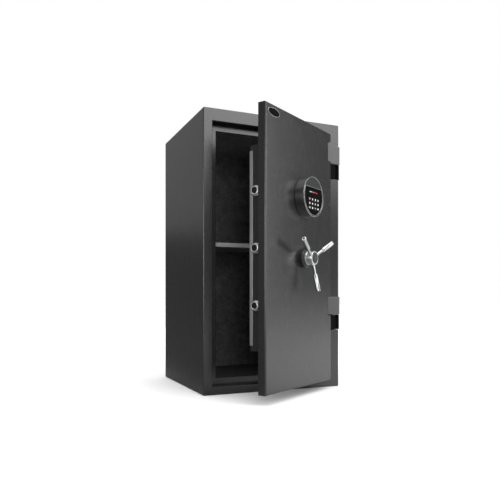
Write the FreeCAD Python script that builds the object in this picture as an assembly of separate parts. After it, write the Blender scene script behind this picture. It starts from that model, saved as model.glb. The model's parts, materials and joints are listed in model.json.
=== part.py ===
import FreeCAD, Part
import math
import os

# Handgun and document safe: a filled steel cabinet with an inset door on two outside hinges.
# Millimetres, +Z up, the door side faces -Y, +X to the hinge side.
# The origin is on the floor at the middle of the footprint, which is the middle of the anchor holes.
# Door parts are drawn with the door shut, then swung about the hinge line to door_ajar.

V = FreeCAD.Vector
X_AXIS = V(1, 0, 0)
Z_AXIS = V(0, 0, 1)
OUTWARD = V(0, -1, 0)

# ---------------------------------------------------------------- cabinet
body_width = 448.0
body_depth = 413.0
body_height = 820.0
shell_sheet = 2.5
shell_fold = 4.0
shell_front_bevel = 1.5
liner_sheet = 2.0
wall = 30.0
side_border = 26.5
top_border = 36.0
bottom_border = 24.0

# ---------------------------------------------------------------- door opening
rebate_depth = 28.5
rebate_sheet = 4.0
stop_width = 21.0
stop_thickness = 5.0
seal_thickness = 1.5
seal_setback = 3.0

# ---------------------------------------------------------------- door leaf
door_width = 360.0
door_thickness = 24.0
door_gap = 3.0
door_sheet = 3.0
door_fold = 4.5
door_ajar = 31.0

# ---------------------------------------------------------------- hinges
hinge_inset = 0.0
hinge_depth = 10.5
barrel_radius = 7.0
pin_radius = 3.5
pin_running_gap = 0.05
hinge_split_heights = {"upper": 696.0, "lower": 224.5}
hinge_play = 0.5
block_height = 56.0
block_overhang = 6.5
block_proud = 4.0
block_raised_width = 48.5
block_edge = 1.5
block_corner = 12.0
notch_depth = 21.0
knuckle_height = 45.0
arm_thickness = 7.0
arm_blend = 3.0
pin_grip = 40.0
pocket_play = 1.0

# ---------------------------------------------------------------- boltwork
housing_setback = 30.0
housing_hinge_setback = 39.5
housing_height = 546.0
housing_rise = 5.5
housing_depth = 45.0
housing_sheet = 3.0
housing_return = 18.0
cover_height = 517.0
cover_sheet = 2.0
cover_lip = 10.0
cover_lip_sheet = 1.5
bolt_radius = 12.0
bolt_reach = 52.0
bolt_proud = 8.0
bolt_spacing = 152.0
bolt_travel = 16.0
collar_wall = 2.0
collar_proud = 1.5
collar_clearance = 2.0
collar_length = 10.0
bolt_running_gap = 0.1
carrier_setback = 82.5
carrier_thickness = 6.0
carrier_width = 28.0
carrier_overhang = 45.0
drive_thickness = 4.0
drive_height = 50.0
dead_bar_thickness = 15.0
dead_bar_depth = 43.5
swing_play = 1.0

# ---------------------------------------------------------------- handle, spindle and cam
handle_setback = 189.0
handle_height = 389.0
handle_throw = 80.0
rose_radius = 27.0
rose_thickness = 13.0
rose_clearance = 0.5
hub_radius = 19.0
hub_front = 38.0
arm_reach = 95.5
arm_tilt = 12.5
arm_angles = {"down": 270.0, "right": 30.0, "left": 150.0}
arm_neck_radius = 4.2
arm_grip_radius = 6.8
arm_grip_start = 47.0
arm_root = 9.0
arm_root_setback = 10.0
spindle_radius = 6.0
spindle_square = 8.4
spindle_socket = 12.0
spindle_running_gap = 0.05
core_clearance = 2.0
cam_radius = 46.0
cam_depth = 40.0
cam_thickness = 6.0
follower_radius = 4.0
follower_near = 20.0
slot_play = 0.25
scroll_arcs = 3
guide_half = 4.0
guide_proud = 3.0

# ---------------------------------------------------------------- lock
lock_length = 84.0
lock_height = 60.0
lock_depth = 33.0
lock_wall = 2.5
lock_bolt_height = 18.0
lock_bolt_thickness = 8.0
lock_bolt_length = 46.0
lock_bolt_play = 0.15
lock_stroke = 12.0
lock_stop_gap = 0.5
lock_bolt_depth = 20.0
lock_tab_length = 50.0
lock_tab_height = 24.0
hard_plate_sheet = 4.0

# ---------------------------------------------------------------- keypad
keypad_setback = 196.0
keypad_height = 560.5
keypad_radius = 56.0
keypad_front = 30.0
keypad_base_thickness = 3.0
keypad_base_step = 1.0
lens_radius = 51.0
lens_chord = 26.0
lens_thickness = 2.5
lens_recess = 0.4
hollow_span = (34.0, -37.5, 34.0)
key_columns = 4
key_rows = 3
key_pitch_x = 15.6
key_pitch_z = 12.0
key_top_row = -8.0
key_width = 12.0
key_height = 8.6
key_corner = 2.0
key_edge = 0.6
key_gap = 0.2
key_proud = 1.2
key_flange = 0.7
key_flange_thickness = 1.0
key_stem = 2.2
key_travel = 1.0
board_thickness = 1.6
board_size = (66.0, 66.0)
light_height = 4.0
light_level = 12.5
white_light_span = (-21.5, -8.0)
red_light_span = (-6.0, 22.0)
battery_size = (48.0, 16.0, 26.0)
battery_drop = 36.0
cable_passage = 5.0

# ---------------------------------------------------------------- fittings
lining = 3.0
lining_setback = 75.0
shelf_top = 448.0
shelf_front_setback = 95.0
shelf_back_gap = 6.0
shelf_side_gap = 2.0
shelf_sheet = 1.5
shelf_lip = 12.0
shelf_fold = 1.0
mat_thickness = 2.5
clip_peg = 6.0
clip_reach = 14.0
clip_width = 14.0
clip_thickness = 3.0
clip_inset = 45.0
anchor_radius = 7.0
anchor_spacing = 240.0
badge_length = 56.0
badge_height = 22.0
badge_thickness = 1.6
badge_sides = 24
badge_inset = 37.0
badge_drop = 21.0

# ---------------------------------------------------------------- planes worked out from the sizes above
left = -body_width / 2
right = body_width / 2
front = -body_depth / 2
back = body_depth / 2
open_left = left + side_border
open_right = open_left + door_width + 2 * door_gap
open_bottom = bottom_border
open_top = body_height - top_border
door_left = open_left + door_gap
door_right = open_right - door_gap
door_bottom = open_bottom + door_gap
door_top = open_top - door_gap
door_back = front + door_thickness
stop_front = front + rebate_depth
stop_back = stop_front + stop_thickness
stop_left = open_left + stop_width
stop_right = open_right - stop_width
stop_bottom = open_bottom + stop_width
stop_top = open_top - stop_width
room_left = left + wall
room_right = right - wall
room_bottom = wall
room_top = body_height - wall
room_back = back - wall
hinge_x = right - hinge_inset
hinge_y = front + hinge_depth
notch_left = door_right - notch_depth
pocket_back = stop_front - shell_sheet
housing_left = door_left + housing_setback
housing_right = door_right - housing_hinge_setback
housing_middle = (door_bottom + door_top) / 2 + housing_rise
housing_bottom = housing_middle - housing_height / 2
housing_top = housing_middle + housing_height / 2
housing_back = door_back + housing_depth
cover_back = housing_back + cover_sheet
bolt_y = front + bolt_reach
bolt_heights = [housing_middle + step * bolt_spacing for step in (-1, 0, 1)]
carrier_x = door_left + carrier_setback
spindle_x = door_left + handle_setback
spindle_z = handle_height
spindle_front = front - hub_front + spindle_socket
cam_front = front + cam_depth
cam_back = cam_front + cam_thickness
drive_front = cam_back + 1.0
drive_back = drive_front + drive_thickness
keypad_x = door_left + keypad_setback
keypad_z = keypad_height
guide_places = (carrier_x + 21.0, carrier_x + 49.0)
lock_left = carrier_x + carrier_thickness + lock_tab_length + lock_stop_gap + 1.0
lock_z = keypad_z
lock_y = door_back + lock_bolt_depth
shelf_underside = shelf_top - mat_thickness - shelf_sheet


# ---------------------------------------------------------------- shape helpers
def box(x0, x1, y0, y1, z0, z1):
    return Part.makeBox(x1 - x0, y1 - y0, z1 - z0, V(x0, y0, z0))


def rod_y(x, z, radius, y0, y1):
    return Part.makeCylinder(radius, y1 - y0, V(x, y0, z), V(0, 1, 0))


def rod_x(y, z, radius, x0, x1):
    return Part.makeCylinder(radius, x1 - x0, V(x0, y, z), X_AXIS)


def rod_z(x, y, radius, z0, z1):
    return Part.makeCylinder(radius, z1 - z0, V(x, y, z0), Z_AXIS)


def joined(shapes):
    shapes = list(shapes)
    return shapes[0].multiFuse(shapes[1:]).removeSplitter() if len(shapes) > 1 else shapes[0]


def group(shapes):
    return Part.makeCompound(list(shapes))


def rounded(shape, radius, wanted):
    return shape.makeFillet(radius, [edge for edge in shape.Edges if wanted(edge)])


def bevelled(shape, size, wanted):
    return shape.makeChamfer(size, [edge for edge in shape.Edges if wanted(edge)])


def along(edge, axis):
    """True for a straight edge that runs along the axis."""
    first, last = edge.Vertexes[0].Point, edge.Vertexes[-1].Point
    run = last - first
    return run.Length > 1e-6 and abs(abs(run.normalize().dot(axis)) - 1) < 1e-6


def at(edge, x=None, y=None, z=None):
    """True if the whole edge lies in the named planes."""
    span = edge.BoundBox
    pairs = ((x, span.XMin, span.XMax), (y, span.YMin, span.YMax), (z, span.ZMin, span.ZMax))
    return all(want is None or (abs(low - want) < 1e-3 and abs(high - want) < 1e-3)
               for want, low, high in pairs)


def swung(shape):
    """Turns a door part from shut to where the door stands ajar."""
    moved = shape.copy()
    moved.rotate(V(hinge_x, hinge_y, 0), Z_AXIS, door_ajar)
    return moved


def save(name, shape):
    os.makedirs("parts", exist_ok=True)
    shape.exportStep("parts/" + name + ".step")


def save_door(name, shape):
    save(name, swung(shape))


def pocket(split, grow=0.0):
    """The hollow in the hinge border that holds a hinge block and lets its knuckle turn."""
    low = split - hinge_play - knuckle_height - pocket_play
    high = split + hinge_play + block_height
    return box(open_right - grow, right + 10, front - 10, pocket_back + grow, low - grow, high + grow)


def anchors(z0, z1):
    return joined(rod_z(side * anchor_spacing / 2, 0, anchor_radius, z0, z1) for side in (-1, 1))


def anchor_passages(z0, z1):
    return joined(box(side * anchor_spacing / 2 - anchor_radius, side * anchor_spacing / 2 + anchor_radius,
                      -anchor_radius, anchor_radius, z0, z1) for side in (-1, 1))


# ---------------------------------------------------------------- cabinet shell and filling
def shell_inside():
    return box(left + shell_sheet, right - shell_sheet, front + shell_sheet, back,
               shell_sheet, body_height - shell_sheet)


def make_shell():
    outside = box(left, right, front, back, 0, body_height)
    outside = rounded(outside, shell_fold, lambda e: along(e, V(0, 1, 0)))
    outside = bevelled(outside, shell_front_bevel, lambda e: at(e, y=front))
    shell = outside.cut(shell_inside())
    shell = shell.cut(box(open_left, open_right, front - 1, stop_front, open_bottom, open_top))
    for split in hinge_split_heights.values():
        shell = shell.cut(pocket(split))
    save("outer_shell", shell.cut(anchors(-1, shell_sheet + 1)))
    plate = shell_inside().common(box(left, right, back - shell_sheet, back, 0, body_height))
    save("back_plate", plate)


def liner_outside():
    return box(room_left - liner_sheet, room_right + liner_sheet, stop_back, room_back + liner_sheet,
               room_bottom - liner_sheet, room_top + liner_sheet)


def liner_plates():
    """The five plates the liner is welded from: floor, ceiling, two sides and back."""
    outer_left, outer_right = room_left - liner_sheet, room_right + liner_sheet
    floor = box(outer_left, outer_right, stop_back, room_back, room_bottom - liner_sheet, room_bottom)
    ceiling = box(outer_left, outer_right, stop_back, room_back, room_top, room_top + liner_sheet)
    sides = [box(outer_left, room_left, stop_back, room_back, room_bottom, room_top),
             box(room_right, outer_right, stop_back, room_back, room_bottom, room_top)]
    for y, z in clip_places():
        sides = [side.cut(clip_slot(y, z, left, right)) for side in sides]
    rear = box(outer_left, outer_right, room_back, room_back + liner_sheet,
               room_bottom - liner_sheet, room_top + liner_sheet)
    return [floor.cut(anchor_passages(0, wall + 1)), ceiling, rear] + sides


def frame_outside():
    """The space that the rebate, the stop and the hinge pockets take up behind the shell's face."""
    rebate = box(open_left - rebate_sheet, open_right + rebate_sheet, front, stop_front,
                 open_bottom - rebate_sheet, open_top + rebate_sheet)
    stop = box(min(open_left - rebate_sheet, room_left - liner_sheet),
               max(open_right + rebate_sheet, room_right + liner_sheet), stop_front, stop_back,
               min(open_bottom - rebate_sheet, room_bottom - liner_sheet),
               max(open_top + rebate_sheet, room_top + liner_sheet))
    pockets = [pocket(split, shell_sheet) for split in hinge_split_heights.values()]
    return joined([rebate, stop] + pockets)


def make_filling():
    filling = shell_inside().cut(box(left, right, back - shell_sheet, back + 1, 0, body_height))
    filling = filling.cut(frame_outside()).cut(liner_outside())
    save("barrier_fill", filling.cut(anchor_passages(0, wall)))


def make_liner():
    save("inner_liner", group(liner_plates()))


# ---------------------------------------------------------------- door frame
def make_frame():
    frame = frame_outside().common(box(left, right - shell_sheet, front + shell_sheet, stop_back,
                                       0, body_height))
    frame = frame.cut(box(open_left, open_right, front, stop_front, open_bottom, open_top))
    frame = frame.cut(box(stop_left, stop_right, front, stop_back + 1, stop_bottom, stop_top))
    for split in hinge_split_heights.values():
        frame = frame.cut(pocket(split))
    save("door_frame", frame)

    strip = box(open_left, open_right, front + seal_setback, stop_front - seal_setback / 2,
                open_bottom, open_top)
    hollow = box(open_left + seal_thickness, open_right - seal_thickness, front, stop_front,
                 open_bottom + seal_thickness, open_top - seal_thickness)
    strip = strip.cut(hollow)
    for split in hinge_split_heights.values():
        whole = pocket(split).BoundBox
        strip = strip.cut(box(0, right, front, stop_front, whole.ZMin - door_gap, whole.ZMax + door_gap))
    save("fire_seal", strip)


# ---------------------------------------------------------------- hinges
def hinge_shapes(split):
    """(body block, door knuckle, pin) of the hinge whose two halves meet at split."""
    block_bottom = split + hinge_play
    block_top = block_bottom + block_height
    block_right = hinge_x + block_overhang
    raised_left = block_right - block_raised_width
    base = box(notch_left + door_gap, block_right, front, pocket_back, block_bottom, block_top)
    raised = box(raised_left, block_right, front - block_proud, pocket_back, block_bottom, block_top)
    raised = rounded(raised, block_corner,
                     lambda e: along(e, Z_AXIS) and at(e, x=block_right, y=front - block_proud))
    raised = bevelled(raised, block_edge, lambda e: at(e, y=front - block_proud))
    base = rounded(base, block_corner, lambda e: along(e, Z_AXIS) and at(e, x=block_right, y=front))
    block = joined([base, raised])
    block = block.cut(rod_z(hinge_x, hinge_y, pin_radius, block_bottom - 1, block_bottom + pin_grip))

    knuckle_top = split - hinge_play
    knuckle_bottom = knuckle_top - knuckle_height
    root = box(notch_left, door_right, front, door_back, knuckle_bottom, knuckle_top)
    arm = box(door_right - 1, hinge_x, hinge_y + barrel_radius - arm_thickness, hinge_y + barrel_radius,
              knuckle_bottom, knuckle_top)
    barrel = rod_z(hinge_x, hinge_y, barrel_radius, knuckle_bottom, knuckle_top)
    knuckle = joined([root, arm, barrel])
    knuckle = rounded(knuckle, arm_blend, lambda e: along(e, Z_AXIS) and at(e, x=door_right)
                      and front + 1 < e.BoundBox.Center.y < door_back - 1)
    knuckle = rounded(knuckle, door_fold, lambda e: along(e, Z_AXIS) and at(e, x=door_right, y=front))
    bore = pin_radius + pin_running_gap
    knuckle = knuckle.cut(rod_z(hinge_x, hinge_y, bore, knuckle_bottom - 1, knuckle_top + 1))

    pin = rod_z(hinge_x, hinge_y, pin_radius, knuckle_bottom, block_bottom + pin_grip)
    return block, knuckle, pin


def make_hinges():
    pins = []
    for name, split in hinge_split_heights.items():
        block, knuckle, pin = hinge_shapes(split)
        save("hinge_block_" + name, block)
        save_door("hinge_knuckle_" + name, knuckle)
        pins.append(pin)
    save("hinge_pins", group(pins))


# ---------------------------------------------------------------- door leaf
def notches(grow=0.0):
    """The two cut-outs at the door's hinge edge, one for each hinge."""
    cuts = []
    for split in hinge_split_heights.values():
        low = split - hinge_play - knuckle_height
        high = split + hinge_play + block_height + door_gap
        cuts.append(box(notch_left - grow, door_right + 1, front - 1, door_back + 1, low - grow, high + grow))
    return cuts


def passage(shape, x, z, size):
    """Cuts a square passage through the door or what is fixed to it, size being its half width."""
    return shape.cut(box(x - size, x + size, front - 50, door_back + 1, z - size, z + size))


def bored(sheet):
    """Cuts the hole that the spindle turns in and the passage for the keypad's cable."""
    bore = spindle_radius + spindle_running_gap
    sheet = sheet.cut(rod_y(spindle_x, spindle_z, bore, front - 1, door_back + 1))
    return passage(sheet, keypad_x, keypad_z, cable_passage)


def cored(filling):
    """Cuts the roomier passages for the spindle and the cable inside the door."""
    filling = passage(filling, spindle_x, spindle_z, spindle_radius + core_clearance)
    return passage(filling, keypad_x, keypad_z, cable_passage)


def leaf(inset, y0, y1):
    """The door's outline, set in from its edges, between two depths."""
    shape = box(door_left + inset, door_right - inset, y0, y1, door_bottom + inset, door_top - inset)
    for cut in notches(inset):
        shape = shape.cut(cut)
    return shape


def hard_plate_shape():
    return box(keypad_x - 55, keypad_x + 55, front + door_sheet, front + door_sheet + hard_plate_sheet,
               spindle_z - 40, keypad_z + 45)


def make_leaf():
    outer = box(door_left, door_right, front, door_back, door_bottom, door_top)
    outer = rounded(outer, door_fold, lambda e: at(e, y=front))
    for cut in notches():
        outer = outer.cut(cut)
    pan = outer.cut(leaf(door_sheet, front + door_sheet, door_back + 1))
    save_door("door_panel", bored(pan))
    back_sheet = leaf(door_sheet, door_back - door_sheet, door_back)
    guides = [box(x - guide_half, x + guide_half, door_back - 1, drive_back + guide_proud,
                  spindle_z - guide_half, spindle_z + guide_half) for x in guide_places]
    save_door("door_back_plate", joined([bored(back_sheet)] + guides))
    slab = leaf(door_sheet, front + door_sheet, door_back - door_sheet).cut(hard_plate_shape())
    save_door("door_fill", cored(slab))
    save_door("hard_plate", cored(hard_plate_shape()))


# ---------------------------------------------------------------- boltwork housing and cover
def make_housing():
    walls = box(housing_left, housing_right, door_back, housing_back, housing_bottom, housing_top)
    inner = box(housing_left + housing_sheet, housing_right - housing_sheet, door_back - 1, housing_back + 1,
                housing_bottom + housing_sheet, housing_top - housing_sheet)
    housing = walls.cut(inner)
    returns = [box(housing_left, housing_right, housing_back - housing_sheet, housing_back, low, high)
               for low, high in ((housing_bottom, housing_bottom + housing_return),
                                 (housing_top - housing_return, housing_top))]
    housing = joined([housing] + returns)
    for z in bolt_heights:
        hole = bolt_radius + bolt_running_gap + collar_wall
        housing = housing.cut(rod_x(bolt_y, z, hole, housing_left - 1, housing_left + housing_sheet + 1))
    save_door("boltwork_housing", housing)


def make_cover():
    lip_low, lip_high = housing_middle - cover_height / 2, housing_middle + cover_height / 2
    lip_front = cover_back - cover_lip
    plate = box(housing_left, housing_right, housing_back, cover_back, lip_low, lip_high)
    cover_left, cover_right = housing_left - cover_lip_sheet, housing_right + cover_lip_sheet
    lips = [box(cover_left, housing_left, lip_front, cover_back, lip_low, lip_high),
            box(housing_right, cover_right, lip_front, cover_back, lip_low, lip_high)]
    cover = joined([plate] + lips)
    for z in bolt_heights:
        hole = bolt_radius + bolt_running_gap + collar_wall + collar_clearance
        cover = cover.cut(rod_x(bolt_y, z, hole, cover_left - 1, housing_left + 0.01))
    save_door("boltwork_cover", cover)


def make_dead_bar():
    """The fixed bar that stays behind the stop at the hinge side, hollowed to clear it as the door swings."""
    corner = math.hypot(hinge_x - stop_right, stop_back - hinge_y) + swing_play
    y0 = front + dead_bar_depth
    low, high = housing_middle - cover_height / 2, housing_middle + cover_height / 2
    bar = box(housing_right, hinge_x - 20, y0, y0 + dead_bar_thickness, low, high)
    save_door("dead_bar", bar.cut(rod_z(hinge_x, hinge_y, corner, low - 1, high + 1)))


# ---------------------------------------------------------------- bolts and their carrier
def make_bolts():
    bolts, collars = [], []
    bore = bolt_radius + bolt_running_gap
    collar_left, collar_right = housing_left - collar_proud, housing_left + collar_length
    for z in bolt_heights:
        bolts.append(rod_x(bolt_y, z, bolt_radius, housing_left - bolt_proud, carrier_x))
        collar = rod_x(bolt_y, z, bore + collar_wall, collar_left, collar_right)
        collars.append(collar.cut(rod_x(bolt_y, z, bore, collar_left - 1, collar_right + 1)))
    save_door("locking_bolts", group(bolts))
    save_door("bolt_collars", group(collars))


def make_carrier():
    low, high = bolt_heights[0] - carrier_overhang, bolt_heights[-1] + carrier_overhang
    right_face = carrier_x + carrier_thickness
    bar = box(carrier_x, right_face, bolt_y - carrier_width / 2, bolt_y + carrier_width / 2, low, high)
    drive_right = spindle_x - follower_near + 2.2 * follower_radius
    drive = box(right_face - 1, drive_right, drive_front, drive_back,
                spindle_z - drive_height / 2, spindle_z + drive_height / 2)
    drive = bevelled(drive, 10.0, lambda e: along(e, V(0, 1, 0)) and at(e, x=drive_right))
    tab = box(right_face - 1, right_face + lock_tab_length, lock_y - 5, lock_y + 5,
              lock_z - lock_tab_height / 2, lock_z + lock_tab_height / 2)
    carrier = joined([bar, drive, tab])
    reach = guide_half + slot_play
    for x in guide_places:
        carrier = carrier.cut(box(x - reach, x + bolt_travel + reach, drive_front - 1, drive_back + 1,
                                  spindle_z - reach, spindle_z + reach))
    pin_x = spindle_x - follower_near
    carrier = carrier.cut(rod_y(pin_x, spindle_z, follower_radius, drive_front - 1, drive_back + 1))
    save_door("bolt_carrier", carrier)
    save_door("cam_follower", rod_y(pin_x, spindle_z, follower_radius, cam_front, drive_back))


# ---------------------------------------------------------------- scroll cam and spindle
def scroll_point(turn, offset=0.0):
    """A point of the cam's scroll, turn radians round from the follower, offset from its middle line."""
    rise = bolt_travel / math.radians(handle_throw)
    radius = follower_near + rise * turn
    angle = math.pi - turn
    radial = V(math.cos(angle), 0, math.sin(angle))
    tangent = V(math.sin(angle), 0, -math.cos(angle))
    run = radial * rise + tangent * radius
    sideways = run.cross(V(0, 1, 0)).normalize()
    return V(spindle_x, cam_front - 1, spindle_z) + radial * radius + sideways * offset


def scroll_slot():
    """The scroll slot. Its radius grows evenly with the turn, so the bolts move in step with the handle."""
    half = follower_radius + slot_play
    start, stop = math.radians(-1.0), math.radians(handle_throw + 1.0)
    turns = [start + (stop - start) * step / (2 * scroll_arcs) for step in range(2 * scroll_arcs + 1)]

    def side(offset):
        return [Part.Arc(*[scroll_point(turn, offset) for turn in turns[k:k + 3]]).toShape()
                for k in range(0, 2 * scroll_arcs, 2)]

    def cap(turn, ahead):
        first, last = scroll_point(turn, half), scroll_point(turn, -half)
        outward = (last - first).cross(V(0, 1, 0)).normalize() * half * ahead
        return Part.Arc(first, (first + last) / 2 + outward, last).toShape()

    wire = Part.Wire(Part.sortEdges(side(half) + [cap(stop, 1)] + side(-half) + [cap(start, -1)])[0])
    return Part.Face(wire).extrude(V(0, cam_thickness + 2, 0))


def make_cam():
    disc = rod_y(spindle_x, spindle_z, cam_radius, cam_front, cam_back)
    disc = disc.cut(scroll_slot())
    half = spindle_square / 2
    disc = disc.cut(box(spindle_x - half, spindle_x + half, cam_front - 1, cam_back + 1,
                        spindle_z - half, spindle_z + half))
    save_door("cam_disc", disc)

    shaft = rod_y(spindle_x, spindle_z, spindle_radius, spindle_front, cam_front)
    tail = box(spindle_x - half, spindle_x + half, cam_front - 1, cam_back,
               spindle_z - half, spindle_z + half)
    save_door("spindle", joined([shaft, tail]))


# ---------------------------------------------------------------- handle
def handle_arm(angle):
    """One spoke: a thin neck that steps up to a round grip, leaning away from the door."""
    neck = rod_x(0, 0, arm_neck_radius, arm_root, arm_grip_start)
    arm = joined([neck, rod_x(0, 0, arm_grip_radius, arm_grip_start, arm_reach)])
    arm.rotate(V(0, 0, 0), Z_AXIS, -arm_tilt)
    arm.rotate(V(0, 0, 0), OUTWARD, angle)
    arm.translate(V(spindle_x, front - hub_front + arm_root_setback, spindle_z))
    return arm


def make_handle():
    rose_front = front - rose_thickness
    rose = rod_y(spindle_x, spindle_z, rose_radius, rose_front, front)
    save_door("handle_rose", passage(rose, spindle_x, spindle_z, spindle_radius + rose_clearance))
    hub = rod_y(spindle_x, spindle_z, hub_radius, front - hub_front, rose_front - rose_clearance)
    hub = hub.cut(rod_y(spindle_x, spindle_z, spindle_radius, spindle_front, front))
    for name, angle in arm_angles.items():
        arm = handle_arm(angle)
        save_door("handle_arm_" + name, arm)
        hub = hub.cut(arm)
    save_door("handle_hub", hub)


# ---------------------------------------------------------------- electronic lock
def make_lock():
    right_face = lock_left + lock_length
    low, high = lock_z - lock_height / 2, lock_z + lock_height / 2
    case = box(lock_left, right_face, door_back, door_back + lock_depth, low, high)
    case = case.cut(box(lock_left + lock_wall, right_face - lock_wall, door_back + lock_wall,
                        door_back + lock_depth - lock_wall, low + lock_wall, high - lock_wall))
    bolt_left = lock_left - 1.0
    half_h, half_t = lock_bolt_height / 2, lock_bolt_thickness / 2
    reach_t, reach_h = half_t + lock_bolt_play, half_h + lock_bolt_play
    window = box(lock_left - 1, lock_left + lock_wall + 1, lock_y - reach_t, lock_y + reach_t,
                 lock_z - reach_h, lock_z + reach_h)
    save_door("lock_case", case.cut(window))
    bolt = box(bolt_left, bolt_left + lock_bolt_length, lock_y - half_t, lock_y + half_t,
               lock_z - half_h, lock_z + half_h)
    bolt = bevelled(bolt, 1.0, lambda e: at(e, x=bolt_left))
    save_door("lock_bolt", bolt)


# ---------------------------------------------------------------- keypad
def d_face(radius, chord, y):
    """A disc of the keypad cut off straight at its top, as a face at depth y."""
    half = math.sqrt(radius * radius - chord * chord)
    centre = V(keypad_x, y, keypad_z)
    left_end, right_end = centre + V(-half, 0, chord), centre + V(half, 0, chord)
    arc = Part.Arc(left_end, centre + V(0, 0, -radius), right_end).toShape()
    return Part.Face(Part.Wire([arc, Part.makeLine(right_end, left_end)]))


def d_plate(radius, chord, y0, y1):
    return d_face(radius, chord, y0).extrude(V(0, y1 - y0, 0))


def key_block(x, z, width, height, y0, y1):
    return box(x - width / 2, x + width / 2, y0, y1, z - height / 2, z + height / 2)


def key_places():
    """The key centres, row by row from the top left."""
    first = -(key_columns - 1) / 2 * key_pitch_x
    return [(keypad_x + first + column * key_pitch_x, keypad_z + key_top_row - row * key_pitch_z)
            for row in range(key_rows) for column in range(key_columns)]


def light_block(span, y0, y1):
    level, half = keypad_z + light_level, light_height / 2
    return box(keypad_x + span[0], keypad_x + span[1], y0, y1, level - half, level + half)


def make_keypad():
    base_front = front - keypad_base_thickness
    rim = front - keypad_front
    save_door("keypad_base", rod_y(keypad_x, keypad_z, keypad_radius + keypad_base_step, base_front, front))
    lens_back = rim + lens_recess + lens_thickness
    housing = rod_y(keypad_x, keypad_z, keypad_radius, rim, base_front)
    half, low, high = hollow_span
    housing = housing.cut(box(keypad_x - half, keypad_x + half, lens_back - 1, base_front + 1,
                              keypad_z + low, keypad_z + high))
    save_door("keypad_housing", housing.cut(d_plate(lens_radius, lens_chord, rim - 1, lens_back)))

    lens = d_plate(lens_radius, lens_chord, rim + lens_recess, lens_back)
    key_front = rim + lens_recess - key_proud
    key_back = lens_back + key_flange_thickness + key_gap
    for number, (x, z) in enumerate(key_places(), 1):
        lens = lens.cut(key_block(x, z, key_width + 2 * key_gap, key_height + 2 * key_gap,
                                  rim - 1, lens_back + 1))
        cap = key_block(x, z, key_width, key_height, key_front, key_back)
        cap = bevelled(cap, key_corner, lambda e: along(e, V(0, 1, 0)))
        cap = bevelled(cap, key_edge, lambda e: at(e, y=key_front))
        flange = key_block(x, z, key_width + 2 * key_flange, key_height + 2 * key_flange,
                           lens_back + key_gap, key_back)
        stem = key_block(x, z, 2 * key_stem, 2 * key_stem, key_back - 0.5, key_back + 1.5)
        save_door("key_%02d" % number, joined([cap, flange, stem]))
    light_front = rim + lens_recess - 0.3
    lights = []
    for span in (white_light_span, red_light_span):
        lens = lens.cut(light_block(span, rim - 1, lens_back + 1))
        lights.append(light_block(span, light_front, lens_back))
    save_door("keypad_lens", lens)
    save_door("status_lights", group(lights))

    board_front = key_back + 1.5 + key_travel + key_gap
    board_back = board_front + board_thickness
    width, height = board_size
    board = box(keypad_x - width / 2, keypad_x + width / 2, board_front, board_back,
                keypad_z - height / 2, keypad_z + height / 2)
    save_door("keypad_board", board)
    length, depth, height = battery_size
    low = keypad_z - battery_drop
    battery = box(keypad_x - length / 2, keypad_x + length / 2, board_back, board_back + depth,
                  low, low + height)
    save_door("battery", bevelled(battery, 2.0, lambda e: along(e, X_AXIS)))


# ---------------------------------------------------------------- lining, shelf and badge
def clip_places():
    """The two shelf clips of one side, as (y, z)."""
    shelf_back = room_back - lining - shelf_back_gap
    z = shelf_underside - clip_thickness - clip_peg / 2
    return [(front + shelf_front_setback + clip_inset, z), (shelf_back - clip_inset, z)]


def clip_slot(y, z, x0, x1):
    return box(x0, x1, y - clip_peg / 2, y + clip_peg / 2, z - clip_peg / 2, z + clip_peg / 2)


def make_lining():
    lined_front = front + lining_setback
    save("lining_back", box(room_left, room_right, room_back - lining, room_back, room_bottom, room_top))
    lined_back = room_back - lining
    sides = [box(room_left, room_left + lining, lined_front, lined_back, room_bottom, room_top),
             box(room_right - lining, room_right, lined_front, lined_back, room_bottom, room_top)]
    for y, z in clip_places():
        sides = [side.cut(clip_slot(y, z, left, right)) for side in sides]
    save("lining_sides", group(sides))
    inner = (room_left + lining, room_right - lining, lined_front, lined_back)
    save("lining_ceiling", box(*inner, room_top - lining, room_top))
    floor = box(*inner, room_bottom, room_bottom + lining)
    save("lining_floor", floor.cut(anchors(0, wall + lining + 1)))


def make_shelf():
    x0 = room_left + lining + shelf_side_gap
    x1 = room_right - lining - shelf_side_gap
    y0, y1 = front + shelf_front_setback, room_back - lining - shelf_back_gap
    top = shelf_top - mat_thickness
    tray = box(x0, x1, y0, y1, top - shelf_lip, top)
    tray = bevelled(tray, shelf_fold, lambda e: along(e, X_AXIS) and at(e, z=top))
    tray = tray.cut(box(x0 - 1, x1 + 1, y0 + shelf_sheet, y1 + 1, top - shelf_lip - 1, top - shelf_sheet))
    save("shelf", tray)
    mat = box(x0 + 1, x1 - 1, y0 + shelf_sheet + 1, y1 - shelf_sheet - 1, top, shelf_top)
    save("shelf_mat", bevelled(mat, 1.0, lambda e: at(e, z=shelf_top)))
    clips = []
    for side in (-1, 1):
        wall_x = side * (room_right + liner_sheet)
        face_x = side * (room_right - lining)
        tab_x = face_x - side * clip_reach
        for y, z in clip_places():
            peg = clip_slot(y, z, min(wall_x, face_x), max(wall_x, face_x))
            tab = box(min(face_x, tab_x), max(face_x, tab_x), y - clip_width / 2, y + clip_width / 2,
                      z + clip_peg / 2, shelf_underside)
            web = box(min(face_x, face_x - side * 3), max(face_x, face_x - side * 3),
                      y - clip_width / 2, y + clip_width / 2, z - clip_peg / 2 - 2, shelf_underside)
            clips.append(joined([peg, web, tab]))
    save("shelf_clips", group(clips))


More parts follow.
